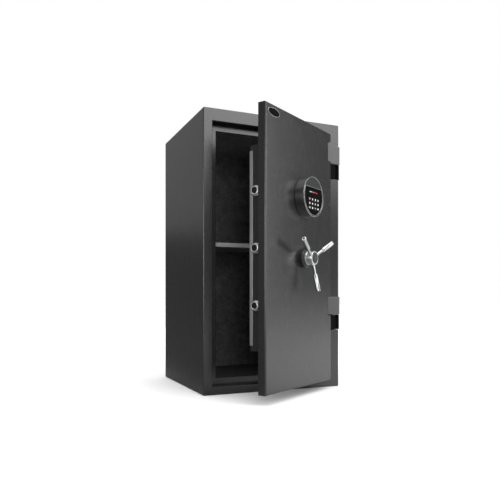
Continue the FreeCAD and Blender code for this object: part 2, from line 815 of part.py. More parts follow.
def make_badge():
    """A plain oval plate."""
    centre = V(door_left + badge_inset, front - badge_thickness, door_top - badge_drop)
    turns = [2 * math.pi * side / badge_sides for side in range(badge_sides)]
    ring = [centre + V(badge_length / 2 * math.cos(turn), 0, badge_height / 2 * math.sin(turn))
            for turn in turns]
    oval = Part.Face(Part.makePolygon(ring + [ring[0]]))
    save_door("door_badge", oval.extrude(V(0, badge_thickness, 0)))


make_shell()
make_filling()
make_liner()
make_frame()
make_hinges()
make_leaf()
make_housing()
make_cover()
make_dead_bar()
make_bolts()
make_carrier()
make_cam()
make_handle()
make_lock()
make_keypad()
make_lining()
make_shelf()
make_badge()
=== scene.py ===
import bmesh
import bpy
import json
import math
from mathutils import Matrix, Vector


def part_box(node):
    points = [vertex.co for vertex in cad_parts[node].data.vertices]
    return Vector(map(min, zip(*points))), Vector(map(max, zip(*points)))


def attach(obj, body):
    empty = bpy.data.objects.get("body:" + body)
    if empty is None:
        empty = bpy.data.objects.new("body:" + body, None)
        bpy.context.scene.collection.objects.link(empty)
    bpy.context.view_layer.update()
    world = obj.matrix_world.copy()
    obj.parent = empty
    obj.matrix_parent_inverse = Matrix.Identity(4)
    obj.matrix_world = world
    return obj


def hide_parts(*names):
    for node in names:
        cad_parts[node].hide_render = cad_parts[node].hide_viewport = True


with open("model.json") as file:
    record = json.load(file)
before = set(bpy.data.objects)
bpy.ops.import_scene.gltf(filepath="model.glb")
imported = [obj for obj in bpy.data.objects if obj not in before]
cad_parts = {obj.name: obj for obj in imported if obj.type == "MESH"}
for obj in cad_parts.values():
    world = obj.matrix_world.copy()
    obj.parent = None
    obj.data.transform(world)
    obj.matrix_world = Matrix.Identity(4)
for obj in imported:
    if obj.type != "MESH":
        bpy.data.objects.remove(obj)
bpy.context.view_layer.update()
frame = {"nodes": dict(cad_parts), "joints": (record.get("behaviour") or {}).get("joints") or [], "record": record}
nodes = frame["nodes"]
scene = bpy.context.scene
mm = 0.001

doorJoint = next(joint for joint in frame["joints"] if joint["name"] == "door_swing")
hingePoint = Vector(doorJoint["pos_m"])
ajarAngle = -math.radians(doorJoint["range_deg"][0])  # how far the door stands open at rest
toHinge, fromHinge = Matrix.Translation(-hingePoint), Matrix.Translation(hingePoint)
doorPlace = fromHinge @ Matrix.Rotation(ajarAngle, 4, "Z") @ toHinge  # takes a shut door to how it stands
doorShut = doorPlace.inverted()
stayPut = Matrix.Identity(4)
outward = Vector((0, -1, 0))  # out of the front, with the door shut
alongX = Vector((1, 0, 0))
facingOut = Matrix.Rotation(math.radians(90), 4, "X")


def pointsOf(node):  # a node's corners with the door shut, where its sides are square to the axes
    return [doorShut @ vert.co for vert in nodes[node].data.vertices]


def extent(points):
    low = Vector([min(point[axis] for point in points) for axis in range(3)])
    high = Vector([max(point[axis] for point in points) for axis in range(3)])
    return low, high


def spanOf(node):
    return extent(pointsOf(node))


def middleOf(points):
    return sum(points, Vector()) / len(points)


class Flow:  # an output socket that can be used in sums
    def __init__(self, wiring, socket):
        self.wiring = wiring
        self.socket = socket

    def maths(self, operation, first, second):
        return self.wiring.node("ShaderNodeMath", {"operation": operation}, {0: first, 1: second})

    def __add__(self, other):
        return self.maths("ADD", self, other)

    def __sub__(self, other):
        return self.maths("SUBTRACT", self, other)

    def __rsub__(self, other):
        return self.maths("SUBTRACT", other, self)

    def __mul__(self, other):
        return self.maths("MULTIPLY", self, other)

    def __pow__(self, other):
        return self.maths("POWER", self, other)

    __radd__ = __add__
    __rmul__ = __mul__


class Wiring:  # a node tree and the one way to add a node to it
    def __init__(self, owner):
        owner.use_nodes = True
        self.tree = owner.node_tree
        self.tree.nodes.clear()

    def node(self, kind, settings=None, inputs=None, output=0):
        made = self.tree.nodes.new(kind)
        for key, value in (settings or {}).items():
            if key == "stops":
                for element, (position, level) in zip(made.color_ramp.elements, value):
                    element.position = position
                    element.color = (level, level, level, 1)
            else:
                setattr(made, key, value)
        for key, value in (inputs or {}).items():
            if isinstance(value, Flow):
                self.tree.links.new(value.socket, made.inputs[key])
            else:
                made.inputs[key].default_value = value
        return Flow(self, made.outputs[output]) if len(made.outputs) else made


class Finish(Wiring):  # one material; fixed holds what is the same all over it
    def __init__(self, name, fixed):
        self.material = bpy.data.materials.new(name)
        super().__init__(self.material)
        self.fixed = fixed
        self.spot = self.node("ShaderNodeTexCoord", output="Object")

    def noise(self, scale, detail=2.0, stretch=None):
        spot = self.spot
        if stretch:
            spot = self.node("ShaderNodeMapping", {}, {"Vector": self.spot, "Scale": stretch})
        return self.node("ShaderNodeTexNoise", {}, {"Vector": spot, "Scale": scale, "Detail": detail})

    def cells(self, scale):
        return self.node("ShaderNodeTexVoronoi", {}, {"Vector": self.spot, "Scale": scale})

    def ramp(self, value, low, high):
        return self.node("ShaderNodeValToRGB", {"stops": ((low, 0.0), (high, 1.0))}, {"Fac": value})

    def mix(self, mask, first, second):  # 0, 6, 7 and 2 are the colour sockets of a Mix node
        return self.node("ShaderNodeMix", {"data_type": "RGBA"}, {0: mask, 6: first, 7: second}, 2)

    def edges(self, radius):  # paler along the outer edges: partly where a finish rubs thin, partly a painted highlight along the edge
        soft = self.node("ShaderNodeBevel", {"samples": 4}, {"Radius": radius})
        hard = self.node("ShaderNodeNewGeometry", output="Normal")
        match = self.node("ShaderNodeVectorMath", {"operation": "DOT_PRODUCT"}, {0: soft, 1: hard}, 1)
        return self.ramp(1 - match, 0.02, 0.25)

    def show(self, colour, roughness, height=None, depth=0.0001, relief=0.5):
        sockets = {**self.fixed, "Base Color": colour, "Roughness": roughness}
        if height:
            bump = {"Strength": relief, "Distance": depth, "Height": height}
            sockets["Normal"] = self.node("ShaderNodeBump", {}, bump)
        shader = self.node("ShaderNodeBsdfPrincipled", {}, sockets)
        self.node("ShaderNodeOutputMaterial", {}, {"Surface": shader})
        return self.material


def grey(level, tint=0.0):
    return (level * (1 - tint), level, level * (1 + tint), 1)


# each look gives pattern scales (larger is finer), bump depths in metres and shader levels
# wear is the colour of the paler edges: rubbed paint and a painted edge highlight
coatLook = {"base": 0.016, "rough": 0.24, "tint": 0.01, "gloss": 0.85, "wear": 0.08, "edgeWearAndHighlightRadius": 0.0012,
            "drift": 5.0, "smudge": 14.0, "rub": 90.0, "peel": 220.0, "grain": 1100.0, "depth": 0.00006,
            "relief": 0.45}


def powderCoat(name, base, rough):
    look = coatLook
    finish = Finish(name, {"Specular IOR Level": look["gloss"]})
    drift = finish.noise(look["drift"], 3.0)
    grain = finish.noise(look["grain"], 2.0)
    peel = finish.noise(look["peel"], 1.0)
    # paler edges: partly rubbed paint, partly a painted edge highlight
    rubbedAndHighlitEdges = finish.edges(look["edgeWearAndHighlightRadius"]) * finish.ramp(finish.noise(look["rub"], 4.0), 0.35, 0.75)
    body = finish.mix(drift, grey(base * 0.86, look["tint"]), grey(base * 1.14, look["tint"]))
    body = finish.mix(rubbedAndHighlitEdges * 0.7, body, grey(look["wear"], look["tint"]))
    smudge = finish.ramp(finish.noise(look["smudge"], 5.0), 0.42, 0.7)
    roughness = rough - 0.02 * smudge + 0.06 * grain
    return finish.show(body, roughness, grain + 0.7 * peel, look["depth"], look["relief"])


paintLook = {"cloud": 9.0, "grain": 1500.0, "scuff": 60.0, "edgeWearAndHighlightRadius": 0.0008, "depth": 0.00005,
             "relief": 0.4}


def mattPaint(name, base, rough=0.6, gloss=0.4):
    look = paintLook
    finish = Finish(name, {"Specular IOR Level": gloss})
    cloud = finish.noise(look["cloud"], 4.0)
    grain = finish.noise(look["grain"], 2.0)
    scuffs = finish.ramp(finish.noise(look["scuff"], 6.0, (1, 1, 0.15)), 0.62, 0.8)
    body = finish.mix(cloud, grey(base * 0.85), grey(base * 1.2))
    # paler scuffs are wear; the paler edges are partly wear, partly a painted edge highlight
    worn = scuffs * 0.25 + 0.6 * finish.edges(look["edgeWearAndHighlightRadius"])
    body = finish.mix(worn, body, grey(base * 2.6 + 0.05 * gloss))
    return finish.show(body, rough - 0.12 * scuffs + 0.05 * grain, grain, look["depth"], look["relief"])


brushLook = {"tint": 0.01, "lines": 900.0, "coarse": 160.0, "stain": 12.0, "depth": 0.00004, "relief": 0.35}


def brushedMetal(name, base, rough, stretch):  # stretch is small along the brushing
    look = brushLook
    finish = Finish(name, {"Metallic": 1.0})
    lines = finish.noise(look["lines"], 3.0, stretch)
    coarse = finish.noise(look["coarse"], 2.0, stretch)
    stain = finish.noise(look["stain"], 5.0)
    dark, pale = grey(base * 0.72, look["tint"]), grey(min(base * 1.22, 1.0), look["tint"])
    body = finish.mix(0.6 * lines + 0.4 * coarse, dark, pale)
    roughness = rough - 0.08 + 0.12 * stain + 0.08 * lines
    return finish.show(body, roughness, lines + 0.5 * coarse, look["depth"], look["relief"])


chromeLook = {"tint": 0.01, "prints": 45.0, "hairlines": 2200.0, "depth": 0.00002, "relief": 0.15}


def polishedChrome(name, base=0.42, rough=0.1):
    look = chromeLook
    finish = Finish(name, {"Metallic": 1.0})
    prints = finish.ramp(finish.noise(look["prints"], 5.0), 0.5, 0.78)
    hairlines = finish.noise(look["hairlines"], 2.0, (1, 0.06, 1))
    body = finish.mix(prints, grey(base, look["tint"]), grey(base * 0.86, look["tint"]))
    roughness = rough + 0.12 * prints + 0.04 * hairlines
    return finish.show(body, roughness, hairlines, look["depth"], look["relief"])


zincLook = {"dark": 0.42, "pale": 0.66, "tint": 0.03, "rough": 0.3, "spangle": 320.0, "cloud": 30.0,
            "depth": 0.00003, "relief": 0.2}


def zincPlate(name):
    look = zincLook
    finish = Finish(name, {"Metallic": 1.0})
    spangle = finish.cells(look["spangle"])
    cloud = finish.noise(look["cloud"], 4.0)
    body = finish.mix(spangle, grey(look["dark"], look["tint"]), grey(look["pale"], look["tint"]))
    return finish.show(body, look["rough"] + 0.16 * cloud, spangle, look["depth"], look["relief"])


castLook = {"lumps": 260.0, "pits": 420.0, "depth": 0.0002, "relief": 0.5}


def castSurface(name, base, metallic, rough, tint=0.0):
    look = castLook
    finish = Finish(name, {"Metallic": metallic})
    lumps = finish.noise(look["lumps"], 5.0)
    pits = finish.ramp(finish.cells(look["pits"]), 0.04, 0.18)
    body = finish.mix(lumps, grey(base * 0.8, tint), grey(base * 1.15, tint))
    return finish.show(body, rough + 0.12 * lumps, lumps + 0.4 * pits, look["depth"], look["relief"])


carpetLook = {"gloss": 0.2, "sheenRough": 0.6, "fibres": 700.0, "tufts": 210.0, "mottle": 34.0,
              "strands": 1600.0, "strandPale": 1.9, "depth": 0.0012, "relief": 0.8}


def carpet(name, dark, pale, sheen=0.3):
    look = carpetLook
    finish = Finish(name, {"Sheen Weight": sheen, "Sheen Roughness": look["sheenRough"],
                           "Specular IOR Level": look["gloss"]})
    fibres = finish.noise(look["fibres"], 6.0)
    tufts = finish.noise(look["tufts"], 3.0)
    mottle = finish.noise(look["mottle"], 5.0)
    strands = finish.noise(look["strands"], 2.0, (1, 1, 0.3))
    blotches = finish.ramp(0.45 * fibres + 0.3 * tufts + 0.25 * mottle, 0.38, 0.62)
    body = finish.mix(blotches, grey(dark), grey(pale))
    body = finish.mix(finish.ramp(strands, 0.66, 0.72) * 0.5, body, grey(pale * look["strandPale"]))
    return finish.show(body, 0.9 + 0.08 * fibres, fibres + 0.8 * tufts, look["depth"], look["relief"])


mouldLook = {"gloss": 0.5, "grain": 1700.0, "cloud": 24.0, "edgeWearAndHighlightRadius": 0.0006, "depth": 0.00006,
             "relief": 0.35}


def moulded(name, base, rough):
    look = mouldLook
    finish = Finish(name, {"Specular IOR Level": look["gloss"]})
    grain = finish.cells(look["grain"])
    cloud = finish.noise(look["cloud"], 4.0)
    body = finish.mix(cloud, grey(base * 0.85), grey(base * 1.2))
    # paler edges: partly wear, partly a painted edge highlight
    body = finish.mix(finish.edges(look["edgeWearAndHighlightRadius"]) * 0.5, body, grey(base * 2.2 + 0.02))
    return finish.show(body, rough + 0.1 * cloud, grain, look["depth"], look["relief"])


glossLook = {"gloss": 0.3, "coatRough": 0.04, "dust": 900.0, "smear": 40.0, "depth": 0.00002, "relief": 0.1}


def glossy(name, colour, rough, glow=0.0, coat=0.6):
    look = glossLook
    finish = Finish(name, {"Coat Weight": coat, "Specular IOR Level": look["gloss"],
                           "Coat Roughness": look["coatRough"], "Emission Color": colour,
                           "Emission Strength": glow})
    dust = finish.ramp(finish.noise(look["dust"], 2.0), 0.6, 0.8)
    smear = finish.ramp(finish.noise(look["smear"], 5.0), 0.45, 0.75)
    dusty = tuple(min(1.0, part * 1.5 + 0.02) for part in colour[:3]) + (1,)
    body = finish.mix(0.35 * dust, colour, dusty)
    return finish.show(body, rough + 0.1 * smear, smear, look["depth"], look["relief"])


sealLook = {"dark": 0.008, "pale": 0.02, "rough": 0.72, "gloss": 0.35, "fine": 1300.0, "cloud": 20.0,
            "depth": 0.0002, "relief": 0.5}


def sealRubber(name):
    look = sealLook
    finish = Finish(name, {"Specular IOR Level": look["gloss"]})
    fine = finish.noise(look["fine"], 3.0)
    cloud = finish.noise(look["cloud"], 3.0)
    body = finish.mix(cloud, grey(look["dark"]), grey(look["pale"]))
    return finish.show(body, look["rough"] + 0.1 * fine, fine, look["depth"], look["relief"])


boardLook = {"gloss": 0.5, "tracks": 180.0, "pads": 260.0, "board": (0.01, 0.10, 0.04, 1),
             "track": (0.02, 0.17, 0.07, 1), "pad": (0.6, 0.55, 0.4, 1), "rough": 0.4, "depth": 0.00005,
             "relief": 0.4}


def circuitBoard(name):
    look = boardLook
    finish = Finish(name, {"Specular IOR Level": look["gloss"]})
    tracks = finish.ramp(finish.noise(look["tracks"], 0.0, (1, 1, 0.2)), 0.5, 0.54)
    pads = finish.ramp(finish.cells(look["pads"]), 0.08, 0.1)
    body = finish.mix(pads, look["pad"], finish.mix(tracks, look["board"], look["track"]))
    return finish.show(body, look["rough"] + 0.1 * tracks, tracks, look["depth"], look["relief"])


brassLook = {"dark": (0.60, 0.43, 0.17, 1), "pale": (0.80, 0.62, 0.30, 1), "rough": 0.26, "lines": 1200.0,
             "cloud": 25.0, "depth": 0.00003, "relief": 0.3}


def turnedBrass(name):
    look = brassLook
    finish = Finish(name, {"Metallic": 1.0})
    lines = finish.noise(look["lines"], 3.0, (0.1, 1, 1))
    cloud = finish.noise(look["cloud"], 4.0)
    body = finish.mix(cloud, look["dark"], look["pale"])
    return finish.show(body, look["rough"] + 0.12 * lines, lines, look["depth"], look["relief"])


# glow: the printed white marks shine with painted light
inkLook = {"glow": 1.1, "worn": 0.72, "fresh": 0.9, "rough": 0.5, "wear": 700.0, "depth": 0.00002,
           "relief": 0.2}


def whiteInk(name):
    look = inkLook
    finish = Finish(name, {"Emission Strength": look["glow"], "Emission Color": grey(1.0)})
    wear = finish.ramp(finish.noise(look["wear"], 3.0), 0.3, 0.7)
    body = finish.mix(wear, grey(look["worn"]), grey(look["fresh"]))
    return finish.show(body, look["rough"] + 0.1 * wear, wear, look["depth"], look["relief"])


finishes = {  # one for each material slot in the record
    "charcoal_powder_coat": powderCoat("charcoalPowderCoat", coatLook["base"], coatLook["rough"]),
    "dark_painted_steel": mattPaint("darkPaintedSteel", 0.012),
    "cast_filling": castSurface("castFilling", 0.4, 0.0, 0.85),
    "black_seal": sealRubber("blackSeal"),
    "hinge_steel": brushedMetal("hingeSteel", 0.34, 0.3, (1, 1, 0.1)),
    "grey_carpet": carpet("greyCarpet", 0.04, 0.20),
    "shelf_paint": mattPaint("shelfPaint", 0.42, 0.45),
    "zinc_plate": zincPlate("zincPlate"),
    "hard_steel": brushedMetal("hardSteel", 0.28, 0.34, (1, 1, 0.08)),
    "satin_steel_cover": brushedMetal("satinSteelCover", 0.52, 0.34, (1, 1, 0.02)),
    "bright_chrome": polishedChrome("brightChrome"),
    "zinc_casting": castSurface("zincCasting", 0.42, 1.0, 0.4, 0.02),
    "brass_bolt": turnedBrass("brassBolt"),
    "black_moulding": moulded("blackMoulding", 0.010, 0.34),
    # kept dark as painted shade on the keypad housing's front
    "satin_keypad_metal": brushedMetal("satinKeypadMetal", 0.10, 0.3, (1, 0.04, 1)),
    "black_lens": glossy("blackLens", (0.0012, 0.0012, 0.0015, 1), 0.06, 0.0, 0.1),
    "circuit_board": circuitBoard("circuitBoard"),
    "status_window": glossy("statusWindow", (0.45, 0.45, 0.45, 1), 0.2, 0.3),
    "battery_sleeve": glossy("batterySleeve", (0.03, 0.03, 0.05, 1), 0.25),
    "badge_plate": mattPaint("badgePlate", 0.0006, 0.85, 0.12),
    "key_rubber": moulded("keyRubber", 0.010, 0.5),
}
# darker and paler copies of the lining carpet: painted shade on the floor lining, painted light on the ceiling
# lining
shadedFloorCarpet = carpet("shadedFloorCarpet", 0.007, 0.034, 0.05)
litCeilingCarpet = carpet("litCeilingCarpet", 0.12, 0.4)
# near-black paint for the hinge arm and the door frame's rebate faces: painted shade where the recesses fall dark
pocketPaintedShade = mattPaint("hingePocketPaintedShade", 0.0015, 0.8, 0.08)
# a paler copy of the powder coat round the hinge barrel: painted highlight
barrelPaintedHighlight = powderCoat("hingeBarrelPaintedHighlight", 0.17, 0.4)
blockCoat = powderCoat("hingeBlockCoat", 0.06, 0.38)
capFace = moulded("hubCapFace", 0.02, 0.32)
redWindow = glossy("redWindow", (0.42, 0.03, 0.05, 1), 0.2, 0.35)
# the key marks glow with painted light
glowingWhiteMark = whiteInk("glowingWhiteMark")
trimChrome = polishedChrome("trimChrome", 0.72, 0.26)
satinChrome = polishedChrome("satinChrome", 0.8, 0.34)
darkTrim = polishedChrome("darkTrim", 0.45, 0.4)
# the keypad housing's sides keep a paler copy of its metal, so the darker front reads as painted shade
housingSide = brushedMetal("keypadSide", 0.22, 0.3, (1, 0.04, 1))
# near-black end faces for the bolts and the handle arm tips: a painted dark reflection in the chrome
darkReflectionDish = mattPaint("boltDishPaintedReflection", 0.004, 0.35)
print("finishes made", len(bpy.data.materials))

slotOf = {part["node"]: part["material_slot"] for part in frame["record"]["subparts"]}
bodyOf = {node: body for body, members in frame["record"]["behaviour"]["bodies"].items() for node in members}
for nodeName, obj in nodes.items():
    obj.data.materials.clear()
    obj.data.materials.append(finishes[slotOf[nodeName]])


def addPiece(bm, name, body, finish, place=stayPut, stands=(), smooth=32):
    bmesh.ops.transform(bm, matrix=place, verts=bm.verts)
    bmesh.ops.recalc_face_normals(bm, faces=bm.faces)
    mesh = bpy.data.meshes.new(name)
    bm.to_mesh(mesh)
    bm.free()
    mesh.shade_smooth()
    mesh.set_sharp_from_angle(angle=math.radians(smooth))
    mesh.materials.append(finish)
    obj = bpy.data.objects.new(name, mesh)
    scene.collection.objects.link(obj)
    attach(obj, body)
    if stands:
        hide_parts(*stands)
    return obj


squareTurn = math.radians(60)  # an edge that turns by more than this is softened


def squareEdges(bm):
    inner = [edge for edge in bm.edges if len(edge.link_faces) == 2]
    return [edge for edge in inner if edge.calc_face_angle(0) > squareTurn]


def soften(bm, edges, width, segments=2):
    bmesh.ops.bevel(bm, geom=edges, offset=width, offset_type="OFFSET", segments=segments, profile=0.5,
                    affect="EDGES", clamp_overlap=True, material=-1)


def lathe(outline, closed, steps=96):  # the outline gives (along X, radius) in metres
    bm = bmesh.new()
    verts = [bm.verts.new((along, 0, radius)) for along, radius in outline]
    pairs = list(zip(verts, verts[1:])) + ([(verts[-1], verts[0])] if closed else [])
    edges = [bm.edges.new(pair) for pair in pairs]
    bmesh.ops.spin(bm, geom=verts + edges, cent=(0, 0, 0), axis=alongX, angle=2 * math.pi, steps=steps,
                   use_merge=True, use_duplicate=False)
    bmesh.ops.remove_doubles(bm, verts=bm.verts, dist=1e-6)
    return bm


def quarterTurn(steps):
    return [math.radians(90 * step / steps) for step in range(steps + 1)]


def onAxis(start, direction):  # moves a turned piece to start, and its X to direction
    turn = alongX.rotation_difference(direction.normalized()).to_matrix().to_4x4()
    return Matrix.Translation(start) @ turn


def merge(first, second):
    spare = bpy.data.meshes.new("spare")
    second.to_mesh(spare)
    second.free()
    first.from_mesh(spare)
    bpy.data.meshes.remove(spare)
    return first


def ringBetween(bm, width):  # keeps only a rim of this width round a flat face
    inset = bmesh.ops.inset_region(bm, faces=bm.faces[:], thickness=width, use_even_offset=True,
                                   use_boundary=True)
    middle = [face for face in bm.faces if face not in inset["faces"]]
    bmesh.ops.delete(bm, geom=middle, context="FACES")


sheetLook = {"flatTurn": 0.6, "squareTurn": 40.0, "segments": 2, "weld": 2e-6}


def refined(node, name, width, finish=None):  # the node's own shape, with its edges rounded
    bm = bmesh.new()
    bm.from_mesh(nodes[node].data)
    bmesh.ops.remove_doubles(bm, verts=bm.verts, dist=sheetLook["weld"])
    bmesh.ops.dissolve_limit(bm, angle_limit=math.radians(sheetLook["flatTurn"]), verts=bm.verts,
                             edges=bm.edges)
    obj = addPiece(bm, name, bodyOf[node], finish or finishes[slotOf[node]], stands=[node])
    rounding = obj.modifiers.new("rounding", "BEVEL")
    rounding.width = width
    rounding.segments = sheetLook["segments"]
    rounding.limit_method = "ANGLE"
    rounding.angle_limit = math.radians(sheetLook["squareTurn"])
    rounding.use_clamp_overlap = True
    levelling = obj.modifiers.new("levelling", "WEIGHTED_NORMAL")  # wide faces stay flat to the light
    levelling.keep_sharp = True
    return obj


sheetPieces = {  # CAD node: the piece's name and its edge rounding in mm
    "outer_shell": ("cabinetShell", 0.6),
    "back_plate": ("cabinetBack", 0.4),
    "inner_liner": ("innerLiner", 0.4),
    "door_frame": ("doorFrame", 0.5),
    "fire_seal": ("fireSeal", 0.3),
    "shelf": ("shelfTray", 0.4),
    "shelf_mat": ("shelfMat", 1.0),
    "shelf_clips": ("shelfClips", 0.4),
    "lining_back": ("liningBack", 0.8),
    "lining_ceiling": ("liningCeiling", 0.8),
    "lining_floor": ("liningFloor", 0.8),
    "lining_sides": ("liningSides", 0.8),
    "door_panel": ("doorPanel", 0.5),
    "door_back_plate": ("doorBackPlate", 0.4),
    "boltwork_housing": ("boltworkHousing", 0.6),
    "boltwork_cover": ("boltworkCover", 0.4),
    "dead_bar": ("deadBar", 1.0),
    "lock_case": ("lockCase", 0.8),
    "lock_bolt": ("lockBolt", 0.4),
    "bolt_carrier": ("boltCarrier", 0.5),
    "cam_disc": ("camDisc", 0.4),
    "keypad_housing": ("keypadHousing", 0.8),
    "keypad_lens": ("keypadLens", 0.25),
    "battery": ("battery", 0.8),
}
# the floor and ceiling linings take the carpet's painted shade and painted light copies
liningPaintedLight = {"lining_floor": shadedFloorCarpet, "lining_ceiling": litCeilingCarpet}
hingeLook = {"blockRound": 0.6, "knuckleRound": 0.5, "barrelReach": 1.5}  # reach is in pin radii


def paintKnuckle(piece):  # bare by the door, near-black painted shade on the arm and a paler copy of the coat round the barrel as a painted highlight
    doorEdge = spanOf("door_panel")[1].x
    pinRadius = nodes["hinge_pins"].dimensions.x / 2
    barrelEdge = hingePoint.x + hingeLook["barrelReach"] * pinRadius
    piece.data.materials.append(pocketPaintedShade)
    piece.data.materials.append(barrelPaintedHighlight)
    for face in piece.data.polygons:
        spot = doorShut @ face.center
        face.material_index = 0 if spot.x < doorEdge else 1 if spot.x < barrelEdge else 2


def paintSides(piece, facing, look):  # a second finish on the faces that turn away from the front
    piece.data.materials.append(look)
    for face in piece.data.polygons:
        face.material_index = int(abs(face.normal.dot(facing)) < 0.5)


sheets = {}
for node, (pieceName, width) in sheetPieces.items():
    sheets[node] = refined(node, pieceName, width * mm, liningPaintedLight.get(node))
for end in ("upper", "lower"):
    refined("hinge_block_" + end, "hingeBlock" + end.title(), hingeLook["blockRound"] * mm, blockCoat)
    knuckleRound = hingeLook["knuckleRound"] * mm
    paintKnuckle(refined("hinge_knuckle_" + end, "hingeKnuckle" + end.title(), knuckleRound))
# the door frame's rebate faces get the near-black painted shade
paintSides(sheets["door_frame"], outward, pocketPaintedShade)
print("sheet metal and hinge pieces made", len(sheets))


boltLook = {"chamfer": 1.0, "dish": 2.0, "dishRim": 2.2, "dishCut": 0.6, "lipCut": 0.4, "collarGap": 0.1,
            "collarRound": 0.7, "steps": 72}


def boltCentres(node):  # a column of three: top, middle and bottom
    low, high = spanOf(node)
    radius = (high.y - low.y) / 2
    heights = (low.z + radius, (low.z + high.z) / 2, high.z - radius)
    return [Vector((low.x, (low.y + high.y) / 2, height)) for height in heights], radius, high.x - low.x


def turnedColumn(outline, closed, centres):
    whole = bmesh.new()
    for centre in centres:
        bm = lathe(outline, closed, boltLook["steps"])
        bmesh.ops.transform(bm, matrix=onAxis(centre, alongX), verts=bm.verts)
        merge(whole, bm)
    return whole


def lockingBolts():
    centres, radius, length = boltCentres("locking_bolts")
    chamfer, dish, rim = (boltLook[key] * mm for key in ("chamfer", "dish", "dishRim"))
    cut, lip = boltLook["dishCut"] * mm, boltLook["lipCut"] * mm
    hollow = radius - chamfer - rim
    outline = [(dish, 0), (dish, hollow - cut), (dish - cut, hollow), (lip, hollow), (0, hollow + lip),
               (0, radius - chamfer), (0.3 * chamfer, radius - 0.3 * chamfer), (chamfer, radius),
               (length, radius), (length, 0)]
    whole = turnedColumn(outline, False, centres)
    for face in whole.faces:
        spot = face.calc_center_median()
        middle = min(centres, key=lambda centre: (centre - spot).length)
        offAxis = (spot - middle).yz.length
        # the dished end face takes the painted dark reflection
        face.material_index = int(offAxis < hollow and spot.x - middle.x < 2 * dish)
    bolts = addPiece(whole, "lockingBolts", "boltwork", satinChrome, doorPlace,
                     ["locking_bolts"], 25)
    bolts.data.materials.append(darkReflectionDish)


def boltCollars():
    centres, radius, length = boltCentres("bolt_collars")
    inner = boltCentres("locking_bolts")[1] + boltLook["collarGap"] * mm
    curve = boltLook["collarRound"] * mm
    outline = [(0, inner + curve * 0.6), (0, radius - curve), (curve * 0.3, radius - curve * 0.3),
               (curve, radius), (length, radius), (length, inner), (curve * 0.6, inner)]
    whole = turnedColumn(outline, True, centres)
    addPiece(whole, "boltCollars", "door", satinChrome, doorPlace, ["bolt_collars"], 25)


lockingBolts()
boltCollars()
print("bolts made")


handleLook = {"rimCut": 1.4, "faceInset": 2.6, "faceSink": 1.2, "roseRound": 3.0, "roseBore": 0.25,
              "grooveDepth": 0.8, "hubBack": 0.6, "hubGroove": 0.7, "bossRadius": 5.6, "bossLength": 2.4,
              "bossRoot": 2.5, "gripRound": 1.6, "gripDish": 3.4, "gripSink": 2.0}


def discNode(node):  # the middle of a disc's back face, its radius and its depth
    low, high = spanOf(node)
    centre = (low + high) / 2
    return Vector((centre.x, high.y, centre.z)), (high.z - low.z) / 2, high.y - low.y


def handleRose():
    back, radius, depth = discNode("handle_rose")
    curve, groove = handleLook["roseRound"] * mm, handleLook["grooveDepth"] * mm
    bore = radius * handleLook["roseBore"]
    outline = [(0, bore), (0, radius), (depth * 0.30, radius), (depth * 0.33, radius - groove),
               (depth * 0.39, radius - groove), (depth * 0.42, radius)]
    outline += [(depth - curve + curve * math.sin(turn), radius - curve + curve * math.cos(turn))
                for turn in quarterTurn(6)]
    outline += [(depth, bore)]
    addPiece(lathe(outline, True), "handleRose", "door", finishes["black_moulding"],
             doorPlace @ onAxis(back, outward), ["handle_rose"])


def handleHub():
    back, radius, depth = discNode("handle_hub")
    cut, inset, sink = (handleLook[key] * mm for key in ("rimCut", "faceInset", "faceSink"))
    chamfer, groove = handleLook["hubBack"] * mm, handleLook["hubGroove"] * mm
    face = radius - inset
    outline = [(0, 0), (0, radius - chamfer), (chamfer, radius), (depth * 0.2, radius),
               (depth * 0.23, radius - groove), (depth * 0.29, radius - groove), (depth * 0.32, radius),
               (depth - cut, radius), (depth - 0.35 * cut, radius - 0.25 * cut), (depth, radius - cut),
               (depth, face + 0.3 * mm), (depth - 0.3 * mm, face), (depth - sink, face), (depth - sink, 0)]
    place = doorPlace @ onAxis(back, outward)
    addPiece(lathe(outline, False), "handleHub", "handle", satinChrome, place,
             ["handle_hub"])
    bottom, capRadius = depth - sink - 0.2 * mm, face - 0.15 * mm
    rim, top, dip = depth - 0.35 * sink, depth - 0.2 * sink, depth - 0.45 * sink
    cap = [(bottom, 0), (bottom, capRadius), (rim, capRadius), (top, face - 0.6 * mm), (top, radius * 0.42),
           (dip, radius * 0.38), (dip, 0)]
    addPiece(lathe(cap, False), "hubCap", "handle", capFace, place)


def ringCentre(points, along, low, high):
    return middleOf([point for point in points if low <= point.dot(along) <= high])


def armAxis(points, hubCentre):  # the middles of an arm's two ends, from its own corners
    far = max(points, key=lambda point: (point - hubCentre).length)
    near = min(points, key=lambda point: (point - hubCentre).length)
    along = (far - near).normalized()
    start, stop = near.dot(along), far.dot(along)
    quarter = (stop - start) / 4
    root = ringCentre(points, along, start - quarter, start + quarter)
    tip = ringCentre(points, along, stop - quarter, stop + quarter)
    return root, tip


def radiiAlong(points, root, along):  # (distance from the root, widest radius there)
    rows = {}
    for point in points:
        step = (point - root).dot(along)
        rows.setdefault(round(step / mm, 1), []).append((point - root - along * step).length)
    return sorted((step * mm, max(radii)) for step, radii in rows.items())


